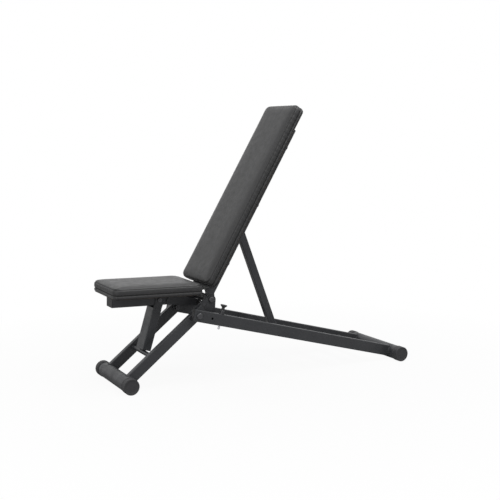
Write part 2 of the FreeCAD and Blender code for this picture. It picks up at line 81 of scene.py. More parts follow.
# ---- reading the frame --------------------------------------------------------------------
def points_of(node: str) -> np.ndarray:
    """Corner points of a CAD node at rest.

    Args:
        node: name of the CAD node.

    Returns:
        Array of shape (count, 3), in metres.
    """
    mesh = frame["nodes"][node].data
    points = np.empty(len(mesh.vertices) * 3, np.float32)
    mesh.vertices.foreach_get("co", points)
    return points.reshape(-1, 3).astype(float)


def middle_of(node: str) -> np.ndarray:
    """Centre of a CAD node's box."""
    low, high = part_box(node)
    return np.array((low + high) / 2.0)


def joint_at(name: str) -> np.ndarray:
    """Pivot of a hinge of the bench at rest."""
    return np.array(next(j["pos_m"] for j in frame["joints"] if j["name"] == name))


def mount_axis(name: str) -> np.ndarray:
    """Unit direction of a mount."""
    axis = np.array(next(m["axis"] for m in frame["record"]["mounts"] if m["name"] == name))
    return axis / np.linalg.norm(axis)


def unit(vector: np.ndarray) -> np.ndarray:
    """Vector or rows of vectors, each scaled to length one."""
    return vector / np.linalg.norm(vector, axis=-1, keepdims=True)


# ---- surfaces -----------------------------------------------------------------------------
def grid_faces(rows: int, columns: int, closed_rows: bool, closed_columns: bool) -> np.ndarray:
    """Quads that join the points of a grid to their neighbours.

    The quad at row i and column j joins points i*columns + j and the next ones along each way,
    where a closed direction runs on from its last line to its first.

    Args:
        rows: number of rows of points.
        columns: number of points in a row.
        closed_rows: whether the last row joins the first.
        closed_columns: whether each row closes on itself.

    Returns:
        Array of shape (faces, 4) of point numbers.
    """
    i, j = np.meshgrid(np.arange(rows if closed_rows else rows - 1),
                       np.arange(columns if closed_columns else columns - 1), indexing="ij")
    i2, j2 = (i + 1) % rows, (j + 1) % columns
    quads = np.stack([i * columns + j, i * columns + j2, i2 * columns + j2, i2 * columns + j], -1)
    return quads.reshape(-1, 4)


def mesh_from(name: str, points: np.ndarray, quads: np.ndarray) -> bpy.types.Mesh:
    """Mesh of a grid surface, with its doubled points merged and its faces turned outwards.

    Args:
        name: name of the mesh.
        points: array of shape (count, 3).
        quads: array of shape (faces, 4).

    Returns:
        The mesh, shaded smooth.
    """
    mesh = bpy.data.meshes.new(name)
    mesh.from_pydata(points.tolist(), [], quads.tolist())
    work = bmesh.new()
    work.from_mesh(mesh)
    bmesh.ops.remove_doubles(work, verts=work.verts, dist=0.002 * MM)
    bmesh.ops.dissolve_degenerate(work, edges=work.edges, dist=0.001 * MM)
    bmesh.ops.recalc_face_normals(work, faces=work.faces)
    work.to_mesh(mesh)
    work.free()
    mesh.shade_smooth()
    return mesh


def add_piece(name: str, mesh: bpy.types.Mesh, finish: bpy.types.Material, body: Body) -> bpy.types.Object:
    """New piece of the bench that rides on one of its bodies.

    Args:
        name: name of the piece.
        mesh: its mesh, in place in the bench's frame.
        finish: its material.
        body: the body that it rides on.

    Returns:
        The object.
    """
    piece = bpy.data.objects.new(name, mesh)
    bpy.context.scene.collection.objects.link(piece)
    piece.data.materials.clear()
    piece.data.materials.append(finish)
    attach(piece, body.value)
    LOG.info("%s: %d faces on %s", name, len(mesh.polygons), body.value)
    return piece


def sweep(path: np.ndarray, normals: np.ndarray, radius: np.ndarray, sides: int,
          closed: bool, flatten: float = 1.0) -> tuple[np.ndarray, np.ndarray]:
    """Tube carried along a path.

    Around each path point p, with unit normal n and binormal b = tangent x n, the ring is
    p + r (flatten cos(a) n + sin(a) b), with a running once round.

    Args:
        path: points of shape (count, 3).
        normals: direction that stands off the surface at each point, shape (count, 3).
        radius: radius at each point, shape (count,). A radius of zero closes an end.
        sides: points in a ring.
        closed: whether the path is a loop.
        flatten: height of the ring along the normal, as a share of its radius.

    Returns:
        Points and quads of the tube.
    """
    step = np.roll(path, -1, 0) - np.roll(path, 1, 0) if closed else np.gradient(path, axis=0)
    tangent = unit(step)
    normal = unit(normals - (normals * tangent).sum(1, keepdims=True) * tangent)
    binormal = np.cross(tangent, normal)
    angle = np.linspace(0.0, 2.0 * math.pi, sides, endpoint=False)
    ring = (flatten * np.cos(angle)[None, :, None] * normal[:, None, :]
            + np.sin(angle)[None, :, None] * binormal[:, None, :])
    points = path[:, None, :] + radius[:, None, None] * ring
    return points.reshape(-1, 3), grid_faces(len(path), sides, closed, True)


def joined(parts: list[tuple[np.ndarray, np.ndarray]]) -> tuple[np.ndarray, np.ndarray]:
    """Several surfaces as one set of points and quads."""
    starts = np.cumsum([0] + [len(points) for points, _ in parts[:-1]])
    points = np.concatenate([points for points, _ in parts])
    quads = np.concatenate([quads + start for (_, quads), start in zip(parts, starts)])
    return points, quads


def rounded_outline(length: float, width: float, corner: float,
                    spacing: float) -> tuple[np.ndarray, np.ndarray]:
    """Rounded rectangle on the XY plane, counter-clockwise, centred on the origin.

    Each corner is its centre plus corner * (cos a, sin a) over a quarter turn, and the straight
    sides between them are divided evenly.

    Args:
        length: size along X.
        width: size along Y.
        corner: corner radius.
        spacing: about how far apart the points are.

    Returns:
        Points and outward normals, each of shape (count, 2).
    """
    half = np.array([length / 2.0 - corner, width / 2.0 - corner])
    signs = np.array([[1, -1], [1, 1], [-1, 1], [-1, -1]], float)
    in_corner = max(4, int(corner * math.pi / 2.0 / spacing) + 2)
    points, normals = [], []
    for i, sign in enumerate(signs):
        angle = np.linspace((i - 1) * math.pi / 2.0, i * math.pi / 2.0, in_corner)
        normal = np.stack([np.cos(angle), np.sin(angle)], 1)
        arc = sign * half + corner * normal
        end = signs[(i + 1) % 4] * half + corner * normal[-1]
        share = np.linspace(0.0, 1.0, max(3, int(np.linalg.norm(end - arc[-1]) / spacing)))[1:-1, None]
        points += [arc, arc[-1] + share * (end - arc[-1])]
        normals += [normal, np.repeat(normal[-1:], len(share), 0)]
    return np.concatenate(points), np.concatenate(normals)


# ---- finishes -----------------------------------------------------------------------------
class NodeTree:
    """Shader nodes of one material, with short calls for the nodes that the finishes share."""

    def __init__(self, name: str) -> None:
        """Starts a material of one Principled shader that reads Object coordinates."""
        self.material = bpy.data.materials.new(name)
        self.material.use_nodes = True
        self.tree = self.material.node_tree
        self.shader = self.tree.nodes["Principled BSDF"]
        self.place = self.tree.nodes.new("ShaderNodeTexCoord").outputs["Object"]

    def add(self, kind: str, inputs: dict | None = None, **settings) -> bpy.types.Node:
        """New node.

        Args:
            kind: Blender's name of the node type.
            inputs: value or linked output of each named input.
            settings: properties of the node.

        Returns:
            The node.
        """
        node = self.tree.nodes.new(kind)
        for key, value in settings.items():
            setattr(node, key, value)
        for key, value in (inputs or {}).items():
            self.put(node, key, value)
        return node

    def put(self, node: bpy.types.Node, key: str | int, value: object) -> None:
        """Sets an input of a node to a number or colour, or links an output to it."""
        if isinstance(value, bpy.types.NodeSocket):
            self.tree.links.new(value, node.inputs[key])
        else:
            node.inputs[key].default_value = value

    def noise(self, size: float, detail: float = 2.0,
              stretch: tuple[float, float, float] = (1.0, 1.0, 1.0)) -> bpy.types.NodeSocket:
        """Noise from 0 to 1 whose lumps are about a size across, in metres."""
        scaled = self.add("ShaderNodeMapping", {"Vector": self.place, "Scale": stretch})
        return self.add("ShaderNodeTexNoise", {"Vector": scaled.outputs[0], "Scale": 1.0 / size,
                                               "Detail": detail}).outputs["Fac"]

    def between(self, value: bpy.types.NodeSocket, low: float, high: float,
                to_low: float = 0.0, to_high: float = 1.0) -> bpy.types.NodeSocket:
        """Value carried from the range low..high to another range, and held at its ends."""
        return self.add("ShaderNodeMapRange", {"Value": value, "From Min": low, "From Max": high,
                                               "To Min": to_low, "To Max": to_high}).outputs[0]

    def blend(self, share: bpy.types.NodeSocket, first: object, second: object) -> bpy.types.NodeSocket:
        """Colour that goes from the first to the second as share goes from 0 to 1."""
        node = self.add("ShaderNodeMix", data_type="RGBA")
        self.put(node, 0, share)
        self.put(node, 6, first)
        self.put(node, 7, second)
        return node.outputs[2]

    def bump(self, height: bpy.types.NodeSocket, distance: float, strength: float = 1.0,
             under: bpy.types.NodeSocket | None = None) -> bpy.types.NodeSocket:
        """Normal of a surface with relief of a depth in metres, on top of another relief."""
        inputs = {"Height": height, "Distance": distance, "Strength": strength}
        if under is not None:
            inputs["Normal"] = under
        return self.add("ShaderNodeBump", inputs).outputs["Normal"]


def tint(colour: tuple[float, float, float], by: float = 1.0) -> tuple[float, float, float, float]:
    """Colour with alpha, brightened or darkened by a factor."""
    return (colour[0] * by, colour[1] * by, colour[2] * by, 1.0)


@dataclass(frozen=True)
class PowderCoat:
    """Baked powder coat on steel: orange peel, a fine texture and rubbed, dusty patches."""

    name: str = "powder_coat"
    colour: tuple[float, float, float] = (0.030, 0.031, 0.034)
    roughness: float = 0.4
    specular: float = 0.35
    peel: float = 1.6 * MM
    grit: float = 0.45 * MM

    def build(self) -> bpy.types.Material:
        """Makes the material."""
        nodes = NodeTree(self.name)
        cloud = nodes.noise(90 * MM, 3.0)
        speck = nodes.noise(self.grit * 2.0, 1.0)
        peel = nodes.noise(self.peel, 2.0)
        base = nodes.blend(nodes.between(cloud, 0.3, 0.7), tint(self.colour, 0.9), tint(self.colour, 1.12))
        flecks = nodes.between(speck, 0.62, 0.75, 0.0, 0.35)
        nodes.put(nodes.shader, "Base Color", nodes.blend(flecks, base, tint(self.colour, 2.0)))
        rubbed = nodes.between(nodes.noise(35 * MM, 4.0), 0.35, 0.7,
                               self.roughness - 0.05, self.roughness + 0.1)
        nodes.put(nodes.shader, "Roughness", rubbed)
        nodes.put(nodes.shader, "Specular IOR Level", self.specular)
        relief = nodes.bump(peel, 0.05 * MM, 0.5)
        nodes.put(nodes.shader, "Normal", nodes.bump(speck, 0.03 * MM, 0.6, relief))
        return nodes.material


@dataclass(frozen=True)
class Vinyl:
    """Upholstery vinyl: embossed leather grain, soft creases and a worn, slightly uneven sheen."""

    name: str = "upholstery_vinyl"
    colour: tuple[float, float, float] = (0.034, 0.034, 0.035)
    roughness: float = 0.42
    specular: float = 0.33
    grain: float = 1.3 * MM

    def build(self) -> bpy.types.Material:
        """Makes the material: Voronoi cells for the grain, with their borders as valleys, which are also painted
        darker as shade.
        """
        nodes = NodeTree(self.name)
        warp = nodes.add("ShaderNodeTexNoise", {"Vector": nodes.place, "Scale": 1.0 / (4 * MM)})
        pushed = nodes.add("ShaderNodeVectorMath", {0: warp.outputs["Color"], 1: (0.9 * MM,) * 3},
                           operation="MULTIPLY")
        spot = nodes.add("ShaderNodeVectorMath", {0: nodes.place, 1: pushed.outputs[0]})
        cells = nodes.add("ShaderNodeTexVoronoi", {"Vector": spot.outputs[0], "Scale": 1.0 / self.grain},
                          feature="DISTANCE_TO_EDGE")
        pebble = nodes.between(cells.outputs["Distance"], 0.0, 0.22)
        cloud = nodes.noise(70 * MM, 3.0)
        rubbed = nodes.noise(22 * MM, 4.0)
        top = nodes.blend(nodes.between(cloud, 0.3, 0.7), tint(self.colour, 0.92), tint(self.colour, 1.08))
        # Painted shade: the valleys of the grain, along the cell borders, are darkened to 0.6 of the colour.
        face = nodes.blend(pebble, tint(self.colour, 0.6), top)
        # The seam attribute read here is painted shade: it darkens the grooves of the seams to 0.12 of the vinyl's
        # colour, and it also raises their roughness.
        seam = nodes.add("ShaderNodeAttribute", attribute_name="seam").outputs["Fac"]
        nodes.put(nodes.shader, "Base Color", nodes.blend(seam, face, tint(self.colour, 0.12)))
        worn = nodes.between(rubbed, 0.3, 0.7, self.roughness - 0.05, self.roughness + 0.07)
        nodes.put(nodes.shader, "Roughness",
                  nodes.add("ShaderNodeMath", {0: worn, 1: seam}, operation="MAXIMUM").outputs[0])
        nodes.put(nodes.shader, "Specular IOR Level", self.specular)
        creases = nodes.bump(nodes.noise(9 * MM, 3.0), 0.12 * MM, 0.5)
        nodes.put(nodes.shader, "Normal", nodes.bump(pebble, 0.09 * MM, 0.7, creases))
        return nodes.material


@dataclass(frozen=True)
class Moulded:
    """Moulded rubber, plastic or nylon, with a spark-eroded texture from its mould."""

    name: str
    colour: tuple[float, float, float]
    roughness: float
    texture: float = 0.7 * MM
    depth: float = 0.04 * MM
    dust: float = 0.25
    specular: float = 0.35

    def build(self) -> bpy.types.Material:
        """Makes the material."""
        nodes = NodeTree(self.name)
        texture = nodes.noise(self.texture, 3.0)
        scuffs = nodes.between(nodes.noise(14 * MM, 5.0), 0.52, 0.72, 0.0, self.dust)
        shade = nodes.blend(texture, tint(self.colour, 0.85), tint(self.colour, 1.15))
        nodes.put(nodes.shader, "Base Color", nodes.blend(scuffs, shade, tint(self.colour, 1.9)))
        nodes.put(nodes.shader, "Roughness",
                  nodes.between(scuffs, 0.0, 1.0, self.roughness, self.roughness + 0.2))
        nodes.put(nodes.shader, "Specular IOR Level", self.specular)
        nodes.put(nodes.shader, "Normal", nodes.bump(texture, self.depth, 0.7))
        return nodes.material


@dataclass(frozen=True)
class PlatedSteel:
    """Plated steel: brushed or turned marks along one way, and slightly cloudy plating."""

    name: str
    colour: tuple[float, float, float]
    roughness: float
    metallic: float = 1.0

    def build(self) -> bpy.types.Material:
        """Makes the material."""
        nodes = NodeTree(self.name)
        marks = nodes.noise(0.6 * MM, 2.0, (1.0, 0.08, 1.0))
        cloud = nodes.noise(6 * MM, 3.0)
        nodes.put(nodes.shader, "Base Color",
                  nodes.blend(nodes.between(cloud, 0.3, 0.7),
                              tint(self.colour, 0.8), tint(self.colour, 1.15)))
        nodes.put(nodes.shader, "Metallic", self.metallic)
        nodes.put(nodes.shader, "Roughness",
                  nodes.between(marks, 0.2, 0.8, self.roughness - 0.07, self.roughness + 0.1))
        nodes.put(nodes.shader, "Normal", nodes.bump(marks, 0.02 * MM, 0.5))
        return nodes.material


@dataclass(frozen=True)
class Plywood:
    """Birch plywood board: long grain, pores, and darker growth rings across the face."""

    name: str = "board_plywood"
    pale: tuple[float, float, float] = (0.46, 0.32, 0.19)
    dark: tuple[float, float, float] = (0.27, 0.17, 0.09)

    def build(self) -> bpy.types.Material:
        """Makes the material."""
        nodes = NodeTree(self.name)
        rings = nodes.noise(9 * MM, 4.0, (0.12, 1.0, 0.12))
        pores = nodes.noise(0.8 * MM, 2.0, (0.06, 1.0, 0.06))
        face = nodes.blend(nodes.between(rings, 0.35, 0.65), tint(self.pale), tint(self.dark))
        nodes.put(nodes.shader, "Base Color",
                  nodes.blend(nodes.between(pores, 0.55, 0.75, 0.0, 0.5), face, tint(self.dark, 0.6)))
        nodes.put(nodes.shader, "Roughness", nodes.between(pores, 0.3, 0.7, 0.55, 0.75))
        nodes.put(nodes.shader, "Normal", nodes.bump(pores, 0.08 * MM, 0.6))
        return nodes.material


@dataclass(frozen=True)
class Thread:
    """Bonded sewing thread, with a fine twist."""

    name: str = "sewing_thread"
    colour: tuple[float, float, float] = (0.05, 0.05, 0.052)

    def build(self) -> bpy.types.Material:
        """Makes the material."""
        nodes = NodeTree(self.name)
        twist = nodes.noise(0.35 * MM, 1.0)
        nodes.put(nodes.shader, "Base Color",
                  nodes.blend(twist, tint(self.colour, 0.6), tint(self.colour, 1.6)))
        nodes.put(nodes.shader, "Roughness", nodes.between(twist, 0.2, 0.8, 0.45, 0.7))
        nodes.put(nodes.shader, "Normal", nodes.bump(twist, 0.08 * MM, 0.8))
        return nodes.material


class Finish(Enum):
    """Finishes of the bench, each a recipe for one material."""

    PAINT = PowderCoat()
    WELD = PowderCoat(name="painted_weld", roughness=0.46, peel=2.4 * MM)
    VINYL = Vinyl()
    RUBBER = Moulded("cap_rubber", (0.028, 0.028, 0.030), 0.6, depth=0.06 * MM)
    PLASTIC = Moulded("black_plastic", (0.018, 0.018, 0.019), 0.42)
    NYLON = Moulded("black_nylon", (0.02, 0.02, 0.021), 0.35, dust=0.1)
    BLACK_ZINC = PlatedSteel("black_zinc", (0.075, 0.075, 0.08), 0.34, 0.75)
    BARE_STEEL = PlatedSteel("bare_steel", (0.5, 0.5, 0.52), 0.3)
    PLYWOOD = Plywood()
    THREAD = Thread()


class Finishes:
    """The bench's materials, each made once."""

    CAD_SLOTS = {"frame_paint": Finish.PAINT, "cap_rubber": Finish.RUBBER,
                 "black_plastic": Finish.PLASTIC, "nylon": Finish.NYLON,
                 "black_fasteners": Finish.BLACK_ZINC, "bare_steel": Finish.BARE_STEEL,
                 "plywood": Finish.PLYWOOD, "upholstery": Finish.VINYL}

    def __init__(self) -> None:
        """Makes every material."""
        self.made = {finish: finish.value.build() for finish in Finish}

    def __getitem__(self, finish: Finish) -> bpy.types.Material:
        """Material of a finish."""
        return self.made[finish]

    def dress_cad_nodes(self) -> None:
        """Gives each CAD node the finish of its slot in the record."""
        for part in frame["record"]["subparts"]:
            node = frame["nodes"][part["node"]]
            node.data.materials.clear()
            node.data.materials.append(self[self.CAD_SLOTS[part["material_slot"]]])
            LOG.info("%s: %s", part["node"], part["material_slot"])


# ---- upholstery ---------------------------------------------------------------------------
@dataclass
class Pad:
    """Padded cushion over a plywood board: a crowned vinyl cover with two sewn seams round it.

    The pad's own axes are X along its length, Y across the bench and Z out of its face, and
    their origin is the middle of its underside.
    """

    name: str
    node: str
    body: Body
    face_mount: str
    rear_swell: float = 0.0         # the cover's rear end bulges this far past the solid's
    corner: float = 24 * MM
    edge: float = 11 * MM           # rounding of the face into the sides
    lower_edge: float = 4 * MM      # rounding of the sides into the underside
    slack: float = 0.4 * MM         # the cover starts this much smaller and is blown up
    voxel: float = 5 * MM
    pressure: float = 4.0
    swell: float = 5 * MM           # the cover moves at most this far
    frames: int = 20
    hold_steps: int = 20            # steps in how fast a point of the cover is pinned
    cloth_quality: int = 6
    cloth_mass: float = 0.4
    stretch_stiffness: float = 18.0
    shear_stiffness: float = 8.0
    bending_stiffness: float = 1.5
    seams: tuple[float, float] = (0.87, 0.34)   # heights of the seams, as shares of the thickness
    seam_depth: float = 3.0 * MM
    seam_width: float = 3.0 * MM
    stitch_pitch: float = 5 * MM
    stitch_length: float = 3.4 * MM
    stitch_radius: float = 0.45 * MM
    stitch_offset: float = 4.0 * MM
    fold_width: float = 24 * MM     # vinyl folded under the board
    staple_pitch: float = 32 * MM
    size: np.ndarray = field(init=False)
    axes: np.ndarray = field(init=False)
    origin: np.ndarray = field(init=False)

    def __post_init__(self) -> None:
        """Works out the pad's axes and size from its CAD solid."""
        up = mount_axis(self.face_mount)
        self.axes = np.stack([np.cross(ACROSS, up), ACROSS, up])
        spread = points_of(self.node) @ self.axes.T
        low, high = spread.min(0), spread.max(0)
        self.size = high - low
        self.origin = np.array([(low[0] + high[0]) / 2, (low[1] + high[1]) / 2, low[2]]) @ self.axes

    def place(self, points: np.ndarray) -> np.ndarray:
        """Points of the pad's own axes, in the bench's frame."""
        return points @ self.axes + self.origin

    def shell(self) -> tuple[np.ndarray, np.ndarray]:
        """Closed form that the cover starts from: a profile carried round a rounded outline.

        A row of the surface is k (outline - d * outward normal) at height z. On the underside k
        grows from 0 to 1; then the lower edge is a quarter circle, d = e (1 - sin a) and
        z = e (1 - cos a); the side is upright; the upper edge is a larger quarter, and on the
        face k falls to 0 again.

        Returns:
            Points and quads, in the pad's own axes.
        """
        length, width, thick = self.size - self.slack * np.array([2.0, 2.0, 1.0])
        outline, outward = rounded_outline(length, width, self.corner, 8 * MM)
        quarter = np.linspace(0.0, math.pi / 2.0, 6)
        spread = np.linspace(0.0, 1.0, 12)
        low, high = self.lower_edge, self.edge
        side = np.linspace(low, thick - high, 5)[1:-1]
        inset = np.concatenate([np.full(12, low), low * (1 - np.sin(quarter)), side * 0.0,
                                high * (1 - np.cos(quarter)), np.full(12, high)])
        height = np.concatenate([spread * 0.0, low * (1 - np.cos(quarter)), side,
                                 thick - high * (1 - np.sin(quarter)), np.full(12, thick)])
        scale = np.concatenate([spread, np.ones(12 + len(side)), spread[::-1]])
        flat = scale[:, None, None] * (outline[None] - inset[:, None, None] * outward[None])
        rise = np.broadcast_to(height[:, None, None], flat.shape[:2] + (1,))
        points = np.concatenate([flat, rise], 2).reshape(-1, 3)
        return points, grid_faces(len(height), len(outline), False, True)

    def _applied(self, piece: bpy.types.Object) -> bpy.types.Mesh:
        """Mesh of a piece with its modifiers applied."""
        graph = bpy.context.evaluated_depsgraph_get()
        return bpy.data.meshes.new_from_object(piece.evaluated_get(graph))

    def _coordinates(self, mesh: bpy.types.Mesh) -> np.ndarray:
        """Corner points of a mesh, shape (count, 3)."""
        points = np.empty(len(mesh.vertices) * 3, np.float32)
        mesh.vertices.foreach_get("co", points)
        return points.reshape(-1, 3).astype(float)

    def inflated(self) -> bpy.types.Mesh:
        """Cover after it is remeshed evenly and blown up as cloth under a light pressure.

        The underside is held where it is stapled to the board, and the two seams are held
        nearly as fast, so the face and the bands between the seams swell on their own. Each
        point then moves swell * tanh(distance / swell) of the way that the cloth went.

        Returns:
            The mesh, in the pad's own axes, with one level of subdivision.
        """
        draft = bpy.data.objects.new("draft", mesh_from("draft", *self.shell()))
        bpy.context.scene.collection.objects.link(draft)
        remesh = draft.modifiers.new("even", "REMESH")
        remesh.mode = "VOXEL"
        remesh.voxel_size = self.voxel
        even = self._applied(draft)
        draft.modifiers.clear()
        draft.data = even
        start = self._coordinates(even)
        thick = self.size[2] - self.slack
        held = np.where(start[:, 2] < self.lower_edge, 1.0, 0.0)
        on_side = self._beside(start)
        for share in self.seams:
            gap = (start[:, 2] - share * thick) / (0.6 * self.voxel)
            held = np.maximum(held, 0.92 * np.exp(-gap ** 2) * on_side)
        end = self._blown(draft, held)
        travel = end - start
        far = np.maximum(np.linalg.norm(travel, axis=1, keepdims=True), 1e-9)
        start = start + travel * self.swell * np.tanh(far / self.swell) / far
        even.vertices.foreach_set("co", start.astype(np.float32).ravel())
        finer = draft.modifiers.new("finer", "SUBSURF")
        finer.levels = finer.render_levels = 1
        cover = self._applied(draft)
        bpy.data.objects.remove(draft)
        return cover

    def _beside(self, points: np.ndarray) -> np.ndarray:
        """1 for points on the sides of the pad and 0 for points inside its outline."""
        half = self.size[:2] / 2 - self.corner
        past = np.maximum(np.abs(points[:, :2]) - half, 0.0)
        return (np.linalg.norm(past, axis=1) > self.corner - self.slack - 0.8 * self.edge).astype(float)

    def _blown(self, draft: bpy.types.Object, held: np.ndarray) -> np.ndarray:
        """Points of the cover after the cloth has run.

        Args:
            draft: the cover, as an object with the even mesh.
            held: how fast each point is pinned, from 0 to 1.

        Returns:
            Array of shape (count, 3).
        """
        group = draft.vertex_groups.new(name="held")
        for step in range(self.hold_steps + 1):
            chosen = np.flatnonzero(np.round(held * self.hold_steps) == step)
            group.add(chosen.tolist(), step / self.hold_steps, "REPLACE")
        cloth = draft.modifiers.new("cover", "CLOTH")
        settings = cloth.settings
        settings.quality = self.cloth_quality
        settings.mass = self.cloth_mass
        settings.tension_stiffness = settings.compression_stiffness = self.stretch_stiffness
        settings.shear_stiffness = self.shear_stiffness
        settings.bending_stiffness = self.bending_stiffness
        settings.use_pressure = True
        settings.uniform_pressure_force = self.pressure
        settings.vertex_group_mass = "held"
        settings.effector_weights.gravity = 0.0
        cloth.collision_settings.use_collision = False
        scene = bpy.context.scene
        for step in range(1, self.frames + 1):
            scene.frame_set(step)
        blown = self._applied(draft)
        end = self._coordinates(blown)
        draft.modifiers.remove(cloth)
        scene.frame_set(1)
        return end

    def seam_height(self, share: float) -> float:
        """Height above the underside of one of the seams."""
        return share * (self.size[2] - self.slack)

    def sewn(self, cover: bpy.types.Mesh) -> np.ndarray:
        """Points of the cover with its seams drawn in and its underside laid flat.

        Beside each of the seams, at height h, a point at distance q from it moves in by
        depth * exp(-(q / width)^2), and the pucker of each stitch is a ripple
        0.12 depth sin(2 pi s / pitch) that fades with distance, where s runs round the pad. On the
        sides, exp(-(q / width)^2) is also kept as painted shade that darkens the grooves. The
        rear end bulges by rear_swell (2x / length)^12 4 z (t - z) / t^2, where t is the thickness.

        Args:
            cover: the inflated cover, in the pad's own axes.

        Returns:
            Array of shape (count, 3), in the pad's own axes.
        """
        points = self._coordinates(cover)
        normals = np.empty(len(cover.vertices) * 3, np.float32)
        cover.vertices.foreach_get("normal", normals)
        normals = normals.reshape(-1, 3).astype(float)
        level = np.hypot(normals[:, 0], normals[:, 1])
        run = np.where(np.abs(normals[:, 0]) > np.abs(normals[:, 1]), points[:, 1], points[:, 0])
        ripple = np.sin(2 * math.pi * run / (4 * self.stitch_pitch))
        shade = np.zeros(len(points))
        for share in self.seams:
            away = np.abs(points[:, 2] - self.seam_height(share))
            groove = self.seam_depth * np.exp(-(away / self.seam_width) ** 2)
            pucker = 0.12 * self.seam_depth * ripple * np.exp(-(away / (3 * self.seam_width)) ** 2)
            points = points - normals * (level * (groove + pucker))[:, None]
            # Painted shade for the grooves, on the sides only, with the same fall-off as the groove itself.
            shade = np.maximum(shade, level * np.exp(-(away / self.seam_width) ** 2))
        rear = np.clip(points[:, 0] / (self.size[0] / 2), 0.0, 1.0)
        belly = np.clip(4 * points[:, 2] * (self.size[2] - points[:, 2]) / self.size[2] ** 2, 0.0, 1.0)
        points[:, 0] += self.rear_swell * rear ** 12 * belly
        points[:, 2] = np.maximum(points[:, 2], 0.0)
        # The painted shade is stored as a point attribute of the cover, which the vinyl material reads.
        cover.attributes.new("seam", "FLOAT", "POINT").data.foreach_set("value", shade.astype(np.float32))
        return points

    def round_path(self, surface: BVHTree, height: float, spacing: float) -> tuple[np.ndarray, np.ndarray]:
        """Closed line round the pad at a height, on the surface of its cover.

        Args:
            surface: the cover, for ray casting in the pad's own axes.
            height: height above the underside.
            spacing: distance from point to point.

        Returns:
            Points and outward normals.
        """
        outline, outward = rounded_outline(*self.size[:2], self.corner, spacing)
        ray_start, ray_length = 30 * MM, 60 * MM
        spots, normals = [], []
        for (x, y), (nx, ny) in zip(outline, outward):
            begin = Vector((x + ray_start * nx, y + ray_start * ny, height))
            hit = surface.ray_cast(begin, Vector((-nx, -ny, 0.0)), ray_length)
            if hit[0] is not None:
                spots.append(hit[0])
                normals.append(hit[1])
        return np.array(spots), np.array(normals)

    def stitch_row(self, path: np.ndarray, normals: np.ndarray) -> tuple[np.ndarray, np.ndarray]:
        """Row of thread stitches along a closed line.

        The line is walked at an even pitch. Each stitch is a short tube whose radius grows from
        nothing and falls again over five rings, and whose middle stands proud of the cover.

        Args:
            path: points of the line.
            normals: outward normals along it.

        Returns:
            Points and quads of every stitch.
        """
        loop = np.vstack([path, path[:1]])
        run = np.concatenate([[0.0], np.cumsum(np.linalg.norm(np.diff(loop, axis=0), axis=1))])
        facing = np.vstack([normals, normals[:1]])
        count = int(run[-1] / self.stitch_pitch)
        share = np.array([-0.5, -0.32, 0.0, 0.32, 0.5])
        thickness = np.array([0.0, 0.8, 1.0, 0.8, 0.0]) * self.stitch_radius
        lift = np.array([-0.2, 0.35, 0.6, 0.35, -0.2]) * self.stitch_radius
        at = (np.arange(count)[:, None] + 0.5) * run[-1] / count + share * self.stitch_length
        line = np.stack([np.interp(at, run, loop[:, k]) for k in range(3)], -1)
        out = unit(np.stack([np.interp(at, run, facing[:, k]) for k in range(3)], -1))
        return joined([sweep(line[i] + out[i] * lift[:, None], out[i], thickness, 6, False)
                       for i in range(count)])

    def build(self, finishes: "Finishes") -> None:
        """Makes the cover, its stitches, the vinyl folded under the board and its staples.

        Args:
            finishes: the bench's materials.
        """
        cover = self.inflated()
        points = self.sewn(cover)
        cover.vertices.foreach_set("co", points.astype(np.float32).ravel())
        cover.update()
        surface = BVHTree.FromPolygons(points.tolist(), [tuple(p.vertices) for p in cover.polygons])
        rows = []
        for share in self.seams:
            for offset in (-self.stitch_offset, self.stitch_offset):
                height = self.seam_height(share) + offset
                if height < self.size[2] - self.edge / 2:
                    rows.append(self.stitch_row(*self.round_path(surface, height, 3 * MM)))
        cover.vertices.foreach_set("co", self.place(points).astype(np.float32).ravel())
        cover.update()
        cover.shade_smooth()
        piece = add_piece(self.name, cover, finishes[Finish.VINYL], self.body)
        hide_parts(self.node)
        stitches, quads = joined(rows)
        add_piece(self.name + "_stitches", mesh_from(self.name + "_stitches", self.place(stitches), quads),
                  finishes[Finish.THREAD], self.body)
        self.fold_under(finishes)

    def fold_under(self, finishes: "Finishes") -> None:
        """Vinyl folded under the board and the staples that hold it.

        The fold is a flat band round the underside. Across it u runs from 0 at the pad's edge
        to 1 at its cut edge, and its height is thickness (1 + gather sin(18 a)) sqrt(1 - u^4),
        where the gathers are only at the corners. Each staple is a wire bent as a low bridge.
        """
        outline, outward = rounded_outline(*(self.size[:2] - 2 * self.lower_edge),
                                           self.corner - self.lower_edge, 3 * MM)
        turn = np.arctan2(outward[:, 1], outward[:, 0])
        bend = (np.abs(np.sin(2 * turn)) > 0.05).astype(float)
        reach = np.array([0.0, 0.0, 0.3, 0.6, 0.85, 0.97, 1.0, 1.0])
        drop = np.array([0.0, 0.6, 1.0, 1.0, 1.0, 0.7, 0.3, 0.0]) * 1.2 * MM
        gather = 1.0 + 0.8 * bend * np.sin(18 * turn)
        uneven = 1.0 + 0.05 * np.sin(np.arange(len(outline)) * 0.37) * (1 - bend)
        pull = np.minimum(self.fold_width, self.corner * 0.8) * bend + self.fold_width * (1 - bend)
        inner = outline[None] - (reach[:, None] * pull * uneven)[..., None] * outward[None]
        depth = -(drop[:, None] * gather[None])
        points = np.concatenate([inner, depth[..., None]], 2).reshape(-1, 3)
        quads = grid_faces(len(reach), len(outline), False, True)
        add_piece(self.name + "_fold", mesh_from(self.name + "_fold", self.place(points), quads),
                  finishes[Finish.VINYL], self.body)
        self.staples(finishes)

